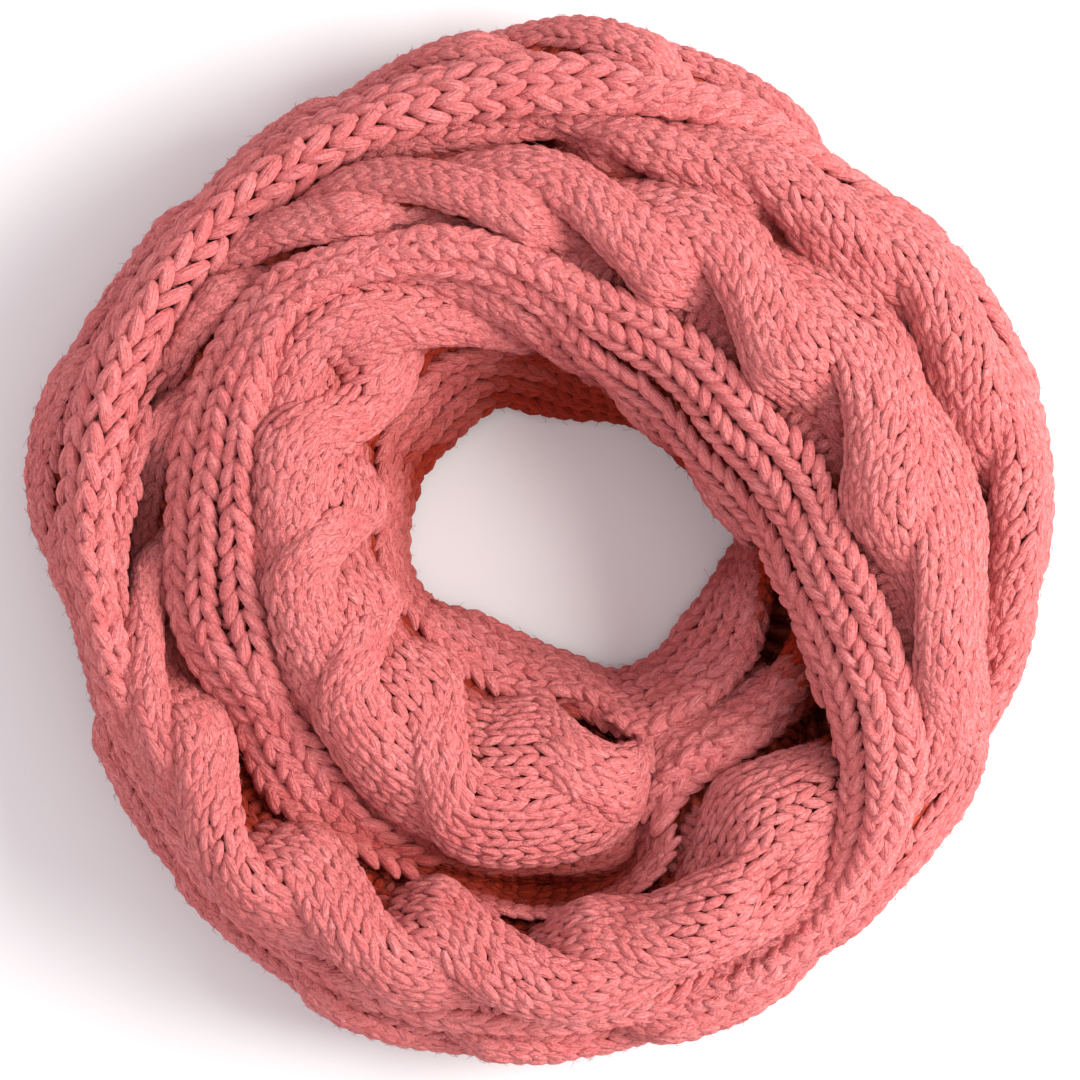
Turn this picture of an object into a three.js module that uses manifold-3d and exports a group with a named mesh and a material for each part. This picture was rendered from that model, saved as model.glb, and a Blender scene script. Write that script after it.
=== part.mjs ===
// A chunky cable knit loop scarf, wound twice into a ring and laid flat.
// Millimetres, +Z up, its underside on z = 0. The origin is the middle of the whole
// scarf's width and depth, and the ring's own axis stands a little beside it.
//
// One long closed band of knitting goes round twice. The lower, wider half of its way is
// the outer turn, the upper half the inner turn, and the two swap places at one crossing.
// The band is rolled and pleated as it lies, so each turn is given by cross-sections at
// stated angles round the ring. A section says where eight lines of the knitting lie.
// Each stretch that shows is a curved wall of cloth through those sections. What lies
// hidden below them is one rounded heap.

import * as THREE from 'three';
import { mergeVertices } from 'three/addons/utils/BufferGeometryUtils.js';
import Module from 'manifold-3d';

// Driving dimensions
const RING_AXIS = [-0.4, 0.4]; // where the ring's own axis stands
const CLOTH = 5; // thickness of the knitting, pressed by its own weight
const GAP = 0.3; // free space between neighbouring pieces
const SLIVER = 0.12; // a cut's facets are joined where that moves them less than this
const SEAM = 0.05; // degrees by which a stretch stops short at each end
const STEP = 9; // degrees between the modelled sections
const HEAP_STEP = 10; // the same for the hidden layers
const LOWEST_HEAP = 5; // the hidden layers' least height
const PITCH = 13; // millimetres of cloth between the modelled lines
const HALF_CABLE = 15; // a cable's two strands lie this far from its middle
const PAD = 5; // height of a cable strand's rounded back
const CROSSING_FROM = 450; // the inner turn passes over the outer turn between these angles
const CROSSING_TO = 490;
const DIVE = 4; // how far a strand sinks where it goes below the other
const LEAD = 0.06; // a strand crosses the cable's middle this much of its way early

// How far across the band each line lies, from the outer hem to the inner hem
const ACROSS = [26, 62, 92, 107, 122, 152, 182, 224];

// Sections, one row each: the angle round the ring in degrees, clockwise from +Y, then
// [radius, height] of the groove, the outer cable's back, its gutter, the ribs' middle,
// the inner cable's gutter, its back, the hem ribs' gutter and the hem. The first turn,
// up to 500 degrees, is the inner one, and the second lies outside it.
const SECTIONS = [
  [90, [140, 14], [128, 14], [117, 16], [107, 18], [95, 24], [86, 27], [79, 22], [71, 2]],
  [105, [150, 16], [140, 18], [122, 24], [109, 33], [98, 37], [89, 25], [79, 33], [62, 2]],
  [120, [152, 20], [134, 30], [112, 40], [104, 48], [96, 45], [89, 30], [81, 40], [57, 2]],
  [130, [158, 42], [132, 66], [106, 52], [98, 53], [91, 46], [85, 31], [79, 42], [57, 2]],
  [140, [161, 42], [131, 76], [102, 56], [94, 53], [87, 47], [82, 33], [76, 42], [57, 2]],
  [152, [166, 50], [137, 80], [104, 55], [95, 50], [87, 46], [79, 36], [73, 42], [53, 2]],
  [165, [168, 52], [147, 80], [123, 56], [119, 37], [112, 47], [82, 56], [58, 32], [44, 2]],
  [180, [171, 52], [148, 81], [125, 55], [121, 33], [116, 45], [85, 62], [57, 32], [37, 2]],
  [195, [171, 52], [148, 81], [125, 54], [121, 36], [116, 47], [86, 64], [57, 34], [34, 2]],
  [210, [170, 52], [148, 79], [126, 54], [120, 46], [112, 51], [83, 65], [54, 34], [33, 2]],
  [225, [168, 50], [149, 76], [130, 52], [118, 53], [104, 56], [80, 66], [53, 36], [37, 2]],
  [240, [161, 46], [143, 64], [124, 51], [113, 58], [102, 61], [75, 67], [54, 36], [45, 2]],
  [255, [149, 38], [141, 52], [129, 51], [118, 61], [98, 68], [76, 68], [56, 38], [48, 2]],
  [270, [139, 28], [135, 40], [128, 53], [115, 66], [98, 72], [75, 70], [57, 38], [48, 2]],
  [285, [142, 30], [137, 44], [129, 59], [116, 69], [101, 74], [76, 68], [58, 38], [47, 2]],
  [300, [144, 38], [138, 54], [130, 63], [119, 72], [108, 75], [80, 64], [65, 38], [47, 2]],
  [315, [144, 42], [138, 60], [128, 69], [119, 75], [111, 76], [84, 60], [67, 38], [45, 2]],
  [330, [141, 48], [132, 68], [117, 75], [110, 78], [102, 76], [82, 56], [71, 38], [46, 2]],
  [345, [137, 54], [123, 76], [108, 80], [100, 81], [91, 74], [79, 54], [70, 36], [48, 2]],
  [360, [133, 54], [115, 81], [96, 82], [88, 81], [77, 68], [72, 46], [66, 32], [43, 2]],
  [375, [128, 56], [109, 85], [88, 83], [75, 76], [61, 58], [66, 40], [60, 26], [44, 2]],
  [405, [131, 56], [110, 88], [87, 84], [71, 76], [57, 53], [62, 36], [61, 22], [55, 2]],
  [420, [138, 56], [116, 90], [89, 86], [71, 78], [57, 54], [63, 38], [63, 22], [59, 2]],
  [435, [146, 58], [123, 92], [98, 87], [78, 79], [63, 56], [69, 40], [68, 24], [64, 2]],
  [450, [151, 60], [127, 95], [104, 91], [87, 82], [74, 61], [80, 44], [81, 34], [83, 18]],
  [460, [156, 60], [136, 96], [116, 94], [96, 86], [81, 66], [87, 52], [91, 43], [94, 35]],
  [470, [163, 42], [149, 85], [131, 94], [112, 91], [95, 76], [101, 60], [106, 51], [110, 43]],
  [480, [166, 10], [165, 50], [149, 87], [131, 93], [114, 80], [120, 66], [126, 58], [130, 50]],
  [490, [163, 2], [166, 42], [159, 74], [148, 83], [134, 76], [136, 62], [136, 52], [136, 42]],
  [500, [160, 1], [166, 34], [166, 60], [159, 69], [150, 66], [145, 54], [143, 44], [142, 34]],
  [515, [167, 1], [174, 30], [171, 50], [165, 56], [157, 54], [151, 44], [149, 36], [147, 26]],
  [530, [168, 1], [174, 28], [170, 44], [162, 45], [155, 40], [150, 33], [148, 27], [146, 19]],
  [560, [170, 1], [176, 28], [172, 44], [164, 43], [156, 37], [151, 30], [150, 24], [148, 16]],
  [575, [164, 1], [170, 28], [167, 44], [158, 42], [150, 36], [148, 30], [147, 24], [145, 16]],
  [590, [161, 1], [167, 26], [163, 46], [154, 48], [147, 44], [144, 36], [143, 29], [141, 22]],
  [605, [156, 1], [162, 26], [161, 50], [153, 57], [146, 54], [141, 45], [139, 37], [137, 28]],
  [622, [153, 1], [158, 26], [159, 49], [154, 61], [147, 58], [140, 49], [138, 39], [136, 30]],
  [632, [165, 1], [171, 27], [164, 51], [155, 63], [147, 60], [141, 50], [138, 39], [136, 30]],
  [645, [165, 1], [173, 28], [166, 53], [156, 64], [146, 60], [140, 50], [138, 40], [136, 30]],
  [665, [157, 1], [164, 28], [164, 52], [157, 65], [145, 60], [139, 50], [137, 40], [135, 30]],
  [680, [157, 1], [163, 28], [164, 50], [157, 64], [144, 59], [139, 49], [137, 39], [135, 30]],
  [695, [157, 1], [163, 29], [163, 52], [156, 65], [145, 60], [139, 49], [136, 38], [133, 29]],
  [710, [162, 1], [169, 31], [164, 56], [155, 66], [145, 60], [139, 48], [135, 38], [131, 29]],
  [725, [166, 1], [174, 34], [165, 58], [154, 66], [146, 62], [139, 54], [130, 46], [126, 34]],
  [735, [165, 1], [172, 34], [163, 58], [156, 64], [150, 63], [137, 64], [127, 54], [121, 40]],
  [747, [161, 1], [169, 26], [167, 46], [163, 56], [156, 61], [141, 68], [128, 56], [123, 40]],
  [760, [154, 1], [162, 18], [164, 32], [165, 43], [162, 52], [147, 70], [132, 57], [127, 39]],
  [775, [163, 1], [170, 15], [173, 28], [174, 38], [171, 49], [155, 70], [138, 57], [133, 39]],
  [790, [166, 1], [174, 12], [177, 24], [178, 33], [175, 45], [160, 69], [145, 56], [139, 38]],
  [805, [166, 1], [173, 12], [176, 23], [177, 32], [174, 43], [163, 65], [150, 54], [145, 37]],
  [820, [160, 1], [167, 11], [170, 21], [171, 30], [169, 41], [164, 56], [157, 50], [151, 36]],
  [845, [157, 1], [163, 8], [166, 16], [166, 24], [164, 31], [158, 36], [151, 32], [144, 24]],
];

const FIRST_SECTION = SECTIONS[0][0];
const LAST_SECTION = SECTIONS[SECTIONS.length - 1][0];

// The two rope-like cables: their middles, the share of its way within which a strand
// crosses over, and the angles at which one strand lies across the top of the other
const BIG_CABLE = {
  middle: 62,
  slant: 0.5,
  crossings: [
    94, 128, 163, 188, 208, 231, 256, 279, 300, 320, 345, 374, 402, 433, 465, 490, 517, 538,
    558, 578, 597, 618, 640, 662, 684, 705, 725, 745, 765, 785, 805, 825, 845, 865,
  ],
};
const SMALL_CABLE = {
  middle: 152,
  slant: 0.36,
  crossings: [
    134, 172, 207, 241, 271, 301, 340, 380, 420, 460, 500, 540, 580, 620, 660, 700, 722,
    742, 762, 787, 812, 838, 862,
  ],
};

// The stretches that show, the uppermost first: their angles and how much of the band's
// width, from its outer hem, shows in each
const STRETCHES = [
  { name: 'crossing_over_stretch', from: 448, to: 500, outer: 26, inner: 126 },
  { name: 'inner_turn_right', from: 404, to: 448, outer: 26, inner: 224 },
  { name: 'inner_turn_top', from: 320, to: 404, outer: 26, inner: 224 },
  { name: 'inner_turn_left', from: 236, to: 320, outer: 26, inner: 224 },
  { name: 'inner_turn_bottom', from: 112, to: 236, outer: 26, inner: 224 },
  { name: 'outer_turn_bottom', from: 500, to: 604, outer: 26, inner: 122 },
  { name: 'outer_turn_left', from: 604, to: 682, outer: 26, inner: 132 },
  { name: 'outer_turn_top', from: 682, to: 766, outer: 26, inner: 182 },
  { name: 'outer_turn_right', from: 766, to: 844, outer: 26, inner: 182 },
  { name: 'lower_layer_right', from: 88, to: 112, outer: 75.5, inner: 224 },
];

const WOOL = { color: 0xe8747c, roughness: 0.95, metalness: 0 };
const SHADED_WOOL = { color: 0xa8483c, roughness: 0.95, metalness: 0 };

// A smooth curve through values at uneven knots, its slope at a knot set by its neighbours
function smoothAt(knots, values, t) {
  const last = knots.length - 2;
  let i = 0;
  while (i < last && t > knots[i + 1]) i += 1;
  const slope = (k) => {
    const a = Math.max(k - 1, 0);
    const b = Math.min(k + 1, knots.length - 1);
    return (values[b] - values[a]) / (knots[b] - knots[a]);
  };
  const span = knots[i + 1] - knots[i];
  const s = (t - knots[i]) / span;
  const rise = values[i + 1] - values[i];
  const m0 = slope(i) * span;
  const m1 = slope(i + 1) * span;
  return values[i] + s * (m0 + s * (3 * rise - 2 * m0 - m1 + s * (m0 + m1 - 2 * rise)));
}

// The band's section at one angle: radius and height of its eight lines
function sectionAt(angle) {
  const angles = SECTIONS.map((row) => row[0]);
  const line = (i, part) => smoothAt(angles, SECTIONS.map((row) => row[i + 1][part]), angle);
  return {
    radius: ACROSS.map((_, i) => line(i, 0)),
    height: ACROSS.map((_, i) => line(i, 1)),
  };
}

// How far a cable's strands stand out of the band at a place across and round it. A strand
// crosses over within its slant's share of its way.
function cableRelief({ middle, slant, crossings }, across, angle) {
  if (angle <= crossings[0]) return 0;
  let relief = -DIVE;
  for (let k = 1; k < crossings.length - 1; k += 1) {
    const here = crossings[k];
    const reach = angle < here ? here - crossings[k - 1] : crossings[k + 1] - here;
    const way = (angle - here) / reach; // -1 where it comes up, 1 where it goes down
    if (Math.abs(way) > 1) continue;
    const crossed = THREE.MathUtils.clamp((way + LEAD) / slant, -1, 1);
    const centre = middle + HALF_CABLE * Math.sin((Math.PI / 2) * crossed);
    const off = (across - centre) / HALF_CABLE;
    const back = PAD * (1 - off * off) - DIVE * way * way;
    relief = Math.max(relief, back);
  }
  return relief;
}

// Both cables' relief, faded out at their gutters
function reliefAt(across, angle) {
  let relief = 0;
  for (const cable of [BIG_CABLE, SMALL_CABLE]) {
    const side = Math.abs(across - cable.middle) / (2 * HALF_CABLE);
    if (side < 1) relief += (1 - side ** 4) * cableRelief(cable, across, angle);
  }
  return relief;
}

// The place at an angle round the ring, a radius and a height
function onRing(angle, radius, height) {
  const turned = THREE.MathUtils.degToRad(angle);
  const x = RING_AXIS[0] + radius * Math.sin(turned);
  return new THREE.Vector3(x, RING_AXIS[1] + radius * Math.cos(turned), height);
}

// A point of the band, raised by so many millimetres along the cloth's own normal, and
// never below the surface that the scarf lies on
function bandPoint(across, angle, raised) {
  const at = (u, a) => {
    const { radius, height } = sectionAt(a);
    return onRing(a, smoothAt(ACROSS, radius, u), smoothAt(ACROSS, height, u));
  };
  const alongBand = at(across, angle + 1).sub(at(across, angle - 1));
  const acrossBand = at(across + 1, angle).sub(at(across - 1, angle));
  const normal = acrossBand.cross(alongBand).normalize();
  const point = at(across, angle).addScaledVector(normal, raised);
  return point.setZ(Math.max(point.z, 0));
}

// Even steps from one value to another, both ends included
function steps(from, to, size) {
  const count = Math.ceil((to - from) / size - 0.01);
  return Array.from({ length: count + 1 }, (_, i) => from + ((to - from) * i) / count);
}

// A closed solid through rings of points, one for each section. The rings either close on
// the first one again or are capped at both ends, straight across from face to back.
function solidThroughRings(rings, closed) {
  const size = rings[0].length;
  const count = rings.length;
  const faces = [];
  for (let i = 0; i < (closed ? count : count - 1); i += 1) {
    const next = (i + 1) % count;
    for (let j = 0; j < size; j += 1) {
      const k = (j + 1) % size;
      const [a, b, c, d] = [i * size + j, i * size + k, next * size + k, next * size + j];
      faces.push(a, b, d, b, c, d);
    }
  }
  const end = (count - 1) * size;
  for (let j = 0; !closed && j < size / 2 - 1; j += 1) {
    const [a, b, c, d] = [j, j + 1, size - 2 - j, size - 1 - j];
    faces.push(a, d, b, b, d, c);
    faces.push(end + a, end + b, end + d, end + b, end + c, end + d);
  }
  const geometry = new THREE.BufferGeometry();
  const place = rings.flat().flatMap((p) => [p.x, p.y, p.z]);
  geometry.setAttribute('position', new THREE.Float32BufferAttribute(place, 3));
  geometry.setIndex(faces);
  return geometry;
}

// A stretch's wall of cloth, grown all round by so much
function clothWall(stretch, grown) {
  const angles = steps(stretch.from + SEAM, stretch.to - SEAM, STEP);
  const lines = steps(stretch.outer, stretch.inner, PITCH);
  if (grown > 0) {
    angles.unshift(stretch.from - grown); // a degree is about a millimetre or more
    angles.push(stretch.to + grown);
    lines.unshift(stretch.outer - grown);
    lines.push(stretch.inner + grown);
  }
  const rings = angles.map((angle) => {
    const lift = (u) => reliefAt(u, angle);
    const face = lines.map((u) => bandPoint(u, angle, lift(u) + grown));
    const back = lines.map((u) => bandPoint(u, angle, lift(u) - CLOTH - grown));
    return [...face, ...back.reverse()];
  });
  return solidThroughRings(rings, false);
}

// The two turns' sections at one angle, swapped over where they cross
function bothTurnsAt(angle) {
  const swap = THREE.MathUtils.smoothstep(angle, CROSSING_FROM, CROSSING_TO);
  const blend = (before, after) => ({
    radius: before.radius.map((r, i) => r + swap * (after.radius[i] - r)),
    height: before.height.map((z, i) => (swap > 0 ? Math.min(z, after.height[i]) : z)),
  });
  const above = sectionAt(angle);
  return {
    outer: blend(sectionAt(Math.min(angle + 360, LAST_SECTION)), above),
    inner: blend(above, sectionAt(Math.max(angle - 360, FIRST_SECTION))),
  };
}

// The hidden layers' heap: below both turns' cloth, down to the surface it lies on
function heapSolid() {
  const rings = steps(140, 500 - HEAP_STEP, HEAP_STEP).map((angle) => {
    const { outer, inner } = bothTurnsAt(angle);
    const under = (turn, line, outward, down) => [
      turn.radius[line] + outward,
      turn.height[line] - down,
    ];
    const valley = [
      Math.min(outer.radius[4] - 8, inner.radius[0]),
      Math.min(outer.height[4], inner.height[0]) - 23,
    ];
    const top = [
      under(outer, 1, -18, 0),
      under(outer, 2, -18, 17),
      under(outer, 3, -4, 16),
      under(outer, 4, -4, 20),
      valley,
      under(inner, 1, -4, 24),
      under(inner, 2, 0, 17),
      under(inner, 3, 2, 14),
      under(inner, 4, 4, 22),
      under(inner, 5, 12, 18),
      under(inner, 6, 18, 8),
    ];
    const section = [[outer.radius[0] - 8, 0], ...top, [inner.radius[7] + 14, 0]];
    return section.map(([r, z], i) => {
      const height = i > 0 && i < section.length - 1 ? Math.max(z, LOWEST_HEAP) : 0;
      return onRing(angle, r, height);
    });
  });
  return solidThroughRings(rings, true);
}

const wasm = await Module();
wasm.setup();

function toManifold(geometry) {
  const merged = mergeVertices(geometry, 1e-4);
  const mesh = new wasm.Mesh({
    numProp: 3,
    vertProperties: new Float32Array(merged.attributes.position.array),
    triVerts: new Uint32Array(merged.index.array),
  });
  return new wasm.Manifold(mesh);
}

// The largest of the pieces that a cut leaves, without slivers
function largestPart(solid) {
  const parts = solid.simplify(SLIVER).decompose();
  return parts.reduce((best, part) => (part.volume() > best.volume() ? part : best));
}

function toMesh(name, solid, finish) {
  const cut = solid.getMesh();
  const geometry = new THREE.BufferGeometry();
  geometry.setAttribute('position', new THREE.BufferAttribute(cut.vertProperties, 3));
  geometry.setIndex(new THREE.BufferAttribute(cut.triVerts, 1));
  const mesh = new THREE.Mesh(geometry, new THREE.MeshStandardMaterial(finish));
  mesh.name = name;
  return mesh;
}

// Each stretch is cut back where one that lies over it, or the stretch before it, passes
const scarf = new THREE.Group();
const clearances = [];
for (const stretch of STRETCHES) {
  let wall = toManifold(clothWall(stretch, 0));
  for (const clearance of clearances) wall = wall.subtract(clearance);
  scarf.add(toMesh(stretch.name, largestPart(wall), WOOL));
  clearances.push(toManifold(clothWall(stretch, GAP)));
}

let heap = toManifold(heapSolid());
for (const clearance of clearances) heap = heap.subtract(clearance);
scarf.add(toMesh('hidden_layers', largestPart(heap), SHADED_WOOL));

export default scarf;
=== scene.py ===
"""A chunky cable knit loop scarf, wound twice into a ring and laid flat: its cloth and stitches.

Sizes are in millimetres until a mesh is made. A place on the knitting has two numbers: how far
it is across the band, from the outer hem, and its turn round the ring in degrees, clockwise
from +Y. The band's first turn is the inner one, and the second lies outside and below it.
"""

import math

import bmesh
import bpy
import numpy as np
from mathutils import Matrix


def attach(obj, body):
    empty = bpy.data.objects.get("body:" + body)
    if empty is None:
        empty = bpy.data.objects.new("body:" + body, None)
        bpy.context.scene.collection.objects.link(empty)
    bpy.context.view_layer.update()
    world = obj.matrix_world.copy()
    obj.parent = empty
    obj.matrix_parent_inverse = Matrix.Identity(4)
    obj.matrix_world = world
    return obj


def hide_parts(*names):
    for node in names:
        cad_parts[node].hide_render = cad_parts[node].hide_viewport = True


MM = 0.001
MEAN_RADIUS = 125.0  # gives the length of a turn along the band
RING_AXIS = (-0.4, 0.4)  # where the ring's own axis stands
LOWEST = 0.3  # no yarn lies lower than this above the surface

# How far across the band each line of the sections lies
ACROSS = np.array([26, 62, 92, 107, 122, 152, 182, 224], float)

# One section of the band in each row: its turn, then [radius, height] of the groove, the outer
# cable's back, its gutter, the ribs' middle, the inner cable's gutter, its back, the hem ribs'
# gutter and the hem
SECTIONS = [
    [90, [140, 14], [128, 14], [117, 16], [107, 18], [95, 24], [86, 27], [79, 22], [71, 2]],
    [105, [150, 16], [140, 18], [122, 24], [109, 33], [98, 37], [89, 25], [79, 33], [62, 2]],
    [120, [152, 20], [134, 30], [112, 40], [104, 48], [96, 45], [89, 30], [81, 40], [57, 2]],
    [130, [158, 42], [132, 66], [106, 52], [98, 53], [91, 46], [85, 31], [79, 42], [57, 2]],
    [140, [161, 42], [131, 76], [102, 56], [94, 53], [87, 47], [82, 33], [76, 42], [57, 2]],
    [152, [166, 50], [137, 80], [104, 55], [95, 50], [87, 46], [79, 36], [73, 42], [53, 2]],
    [165, [168, 52], [147, 80], [123, 56], [119, 37], [112, 47], [82, 56], [58, 32], [44, 2]],
    [180, [171, 52], [148, 81], [125, 55], [121, 33], [116, 45], [85, 62], [57, 32], [37, 2]],
    [195, [171, 52], [148, 81], [125, 54], [121, 36], [116, 47], [86, 64], [57, 34], [34, 2]],
    [210, [170, 52], [148, 79], [126, 54], [120, 46], [112, 51], [83, 65], [54, 34], [33, 2]],
    [225, [168, 50], [149, 76], [130, 52], [118, 53], [104, 56], [80, 66], [53, 36], [37, 2]],
    [240, [161, 46], [143, 64], [124, 51], [113, 58], [102, 61], [75, 67], [54, 36], [45, 2]],
    [255, [149, 38], [141, 52], [129, 51], [118, 61], [98, 68], [76, 68], [56, 38], [48, 2]],
    [270, [139, 28], [135, 40], [128, 53], [115, 66], [98, 72], [75, 70], [57, 38], [48, 2]],
    [285, [142, 30], [137, 44], [129, 59], [116, 69], [101, 74], [76, 68], [58, 38], [47, 2]],
    [300, [144, 38], [138, 54], [130, 63], [119, 72], [108, 75], [80, 64], [65, 38], [47, 2]],
    [315, [144, 42], [138, 60], [128, 69], [119, 75], [111, 76], [84, 60], [67, 38], [45, 2]],
    [330, [141, 48], [132, 68], [117, 75], [110, 78], [102, 76], [82, 56], [71, 38], [46, 2]],
    [345, [137, 54], [123, 76], [108, 80], [100, 81], [91, 74], [79, 54], [70, 36], [48, 2]],
    [360, [133, 54], [115, 81], [96, 82], [88, 81], [77, 68], [72, 46], [66, 32], [43, 2]],
    [375, [128, 56], [109, 85], [88, 83], [75, 76], [61, 58], [66, 40], [60, 26], [44, 2]],
    [405, [131, 56], [110, 88], [87, 84], [71, 76], [57, 53], [62, 36], [61, 22], [55, 2]],
    [420, [138, 56], [116, 90], [89, 86], [71, 78], [57, 54], [63, 38], [63, 22], [59, 2]],
    [435, [146, 58], [123, 92], [98, 87], [78, 79], [63, 56], [69, 40], [68, 24], [64, 2]],
    [450, [151, 60], [127, 95], [104, 91], [87, 82], [74, 61], [80, 44], [81, 34], [83, 18]],
    [460, [156, 60], [136, 96], [116, 94], [96, 86], [81, 66], [87, 52], [91, 43], [94, 35]],
    [470, [163, 42], [149, 85], [131, 94], [112, 91], [95, 76], [101, 60], [106, 51], [110, 43]],
    [480, [166, 10], [165, 50], [149, 87], [131, 93], [114, 80], [120, 66], [126, 58], [130, 50]],
    [490, [163, 2], [166, 42], [159, 74], [148, 83], [134, 76], [136, 62], [136, 52], [136, 42]],
    [500, [160, 1], [166, 34], [166, 60], [159, 69], [150, 66], [145, 54], [143, 44], [142, 34]],
    [515, [167, 1], [174, 30], [171, 50], [165, 56], [157, 54], [151, 44], [149, 36], [147, 26]],
    [530, [168, 1], [174, 28], [170, 44], [162, 45], [155, 40], [150, 33], [148, 27], [146, 19]],
    [560, [170, 1], [176, 28], [172, 44], [164, 43], [156, 37], [151, 30], [150, 24], [148, 16]],
    [575, [164, 1], [170, 28], [167, 44], [158, 42], [150, 36], [148, 30], [147, 24], [145, 16]],
    [590, [161, 1], [167, 26], [163, 46], [154, 48], [147, 44], [144, 36], [143, 29], [141, 22]],
    [605, [156, 1], [162, 26], [161, 50], [153, 57], [146, 54], [141, 45], [139, 37], [137, 28]],
    [622, [153, 1], [158, 26], [159, 49], [154, 61], [147, 58], [140, 49], [138, 39], [136, 30]],
    [632, [165, 1], [171, 27], [164, 51], [155, 63], [147, 60], [141, 50], [138, 39], [136, 30]],
    [645, [165, 1], [173, 28], [166, 53], [156, 64], [146, 60], [140, 50], [138, 40], [136, 30]],
    [665, [157, 1], [164, 28], [164, 52], [157, 65], [145, 60], [139, 50], [137, 40], [135, 30]],
    [680, [157, 1], [163, 28], [164, 50], [157, 64], [144, 59], [139, 49], [137, 39], [135, 30]],
    [695, [157, 1], [163, 29], [163, 52], [156, 65], [145, 60], [139, 49], [136, 38], [133, 29]],
    [710, [162, 1], [169, 31], [164, 56], [155, 66], [145, 60], [139, 48], [135, 38], [131, 29]],
    [725, [166, 1], [174, 34], [165, 58], [154, 66], [146, 62], [139, 54], [130, 46], [126, 34]],
    [735, [165, 1], [172, 34], [163, 58], [156, 64], [150, 63], [137, 64], [127, 54], [121, 40]],
    [747, [161, 1], [169, 26], [167, 46], [163, 56], [156, 61], [141, 68], [128, 56], [123, 40]],
    [760, [154, 1], [162, 18], [164, 32], [165, 43], [162, 52], [147, 70], [132, 57], [127, 39]],
    [775, [163, 1], [170, 15], [173, 28], [174, 38], [171, 49], [155, 70], [138, 57], [133, 39]],
    [790, [166, 1], [174, 12], [177, 24], [178, 33], [175, 45], [160, 69], [145, 56], [139, 38]],
    [805, [166, 1], [173, 12], [176, 23], [177, 32], [174, 43], [163, 65], [150, 54], [145, 37]],
    [820, [160, 1], [167, 11], [170, 21], [171, 30], [169, 41], [164, 56], [157, 50], [151, 36]],
    [845, [157, 1], [163, 8], [166, 16], [166, 24], [164, 31], [158, 36], [151, 32], [144, 24]],
]
TURNS = np.array([row[0] for row in SECTIONS], float)
RADII, HEIGHTS = np.array([row[1:] for row in SECTIONS], float).transpose(2, 1, 0)

HALF_CABLE = 30.0
STRAND = 17.4  # half the width of a strand
SWING = HALF_CABLE - STRAND  # how far it swings from the cable's middle

# Two rope-like cables: at some turns the middle, the share of its way within which a strand
# crosses over, how deep it dives and how far the strands are spread, then the turns at which
# one strand lies across the other
BIG_CABLE = {
    "middle": [(150, 62), (175, 66), (220, 66), (240, 62), (370, 62), (385, 60), (450, 60),
               (470, 62)],
    "slant": [(90, 0.55), (860, 0.55)],
    "dive": [(90, 14), (455, 14), (475, 8), (505, 8), (520, 14)],
    "spread": [(150, 1.0), (175, 1.05), (220, 1.05), (240, 1.0), (365, 1.0), (385, 1.12),
               (470, 1.12), (490, 1.0)],
    "crossings": [94, 128, 163, 188, 208, 231, 256, 279, 300, 320, 345, 374, 402, 433, 465, 490,
                  517, 538, 558, 578, 597, 618, 640, 662, 684, 705, 725, 745, 765, 785, 805, 825,
                  845, 865],
}
SMALL_CABLE = {
    "middle": [(90, 154), (260, 154), (290, 152), (700, 152), (725, 155), (845, 155)],
    "slant": [(90, 0.3), (250, 0.34), (330, 0.45), (700, 0.8), (860, 0.8)],
    "dive": [(90, 5), (270, 6), (340, 14), (700, 14), (730, 11), (860, 11)],
    "spread": [(90, 1.0), (700, 1.0), (730, 1.12), (860, 1.12)],
    "crossings": [134, 172, 207, 241, 271, 301, 340, 380, 420, 460, 500, 540, 580, 620, 660, 700,
                  722, 742, 762, 787, 812, 838, 862],
}
FORM = ("middle", "slant", "dive", "spread")
COLUMNS = 7  # columns of stitches in a strand

# A strand's rounded back, and how far it dips where it comes up from below the strand before
# it and where it goes below the next one
PAD = 11.5
ROUNDNESS = 2.4  # 2 would be an ellipse
EDGE = 0.97  # the yarn keeps off the steep edge beyond this share of the strand
REACH = 1.3  # where it comes up and is gone, as shares of the way to the neighbouring crossings
COMES_UP, GOES_DOWN = (-REACH, -0.45), (0.35, 0.85)
RISE = 0.64  # it comes up from this share of the depth to which it dives
LEAD = 0.06  # it crosses this share of the way early
SUNK = 4.4  # the yarn sinks this far into the solids' face
VALLEY = 7.2  # between two strands the knitting lies this far below the band's face
RIB_VALLEY = 3.2  # and this far between the ribs
GROUND_DEPTH = 1.2  # the ground lies this far below the yarn
HIDDEN = 1.6  # a stitch this far below another strand is left out

# The stretches of the band that show: their turns and how much of its width shows
STRETCHES = {
    "crossing_over_stretch": (448, 500, 26, 126),
    "inner_turn_right": (404, 448, 26, 224),
    "inner_turn_top": (320, 404, 26, 224),
    "inner_turn_left": (236, 320, 26, 224),
    "inner_turn_bottom": (112, 236, 26, 224),
    "outer_turn_bottom": (500, 604, 26, 122),
    "outer_turn_left": (604, 682, 26, 132),
    "outer_turn_top": (682, 766, 26, 188),
    "outer_turn_right": (766, 844, 26, 188),
    "lower_layer_right": (88, 112, 75.5, 224),
}

# Soft hollows pressed into the folds: turn and place across, length along and across, depth. The
# last three are raised instead, where two folds press together.
HOLLOWS = [
    (146, 56, 9, 6, 9),
    (309, 146, 10, 8, 8),
    (54, 72, 8, 5, 5),
    (86, 70, 8, 5, 4),
    (415, 44, 10, 5, 4),
    (718, 160, 14, 14, 12),
    (846, 62, 9, 36, 7),
    (180, 105, 20, 12, 8),
    (176, 107, 60, 8, -7),
    (412, 30, 85, 16, -7),
    (772, 180, 85, 12, -7),
]

# Rows of stitches along the band, and columns across it
ROW, PURL_ROW, HEM_ROW = 6.0, 4.4, 6.0
STITCH_WIDTH = 5.0
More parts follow.
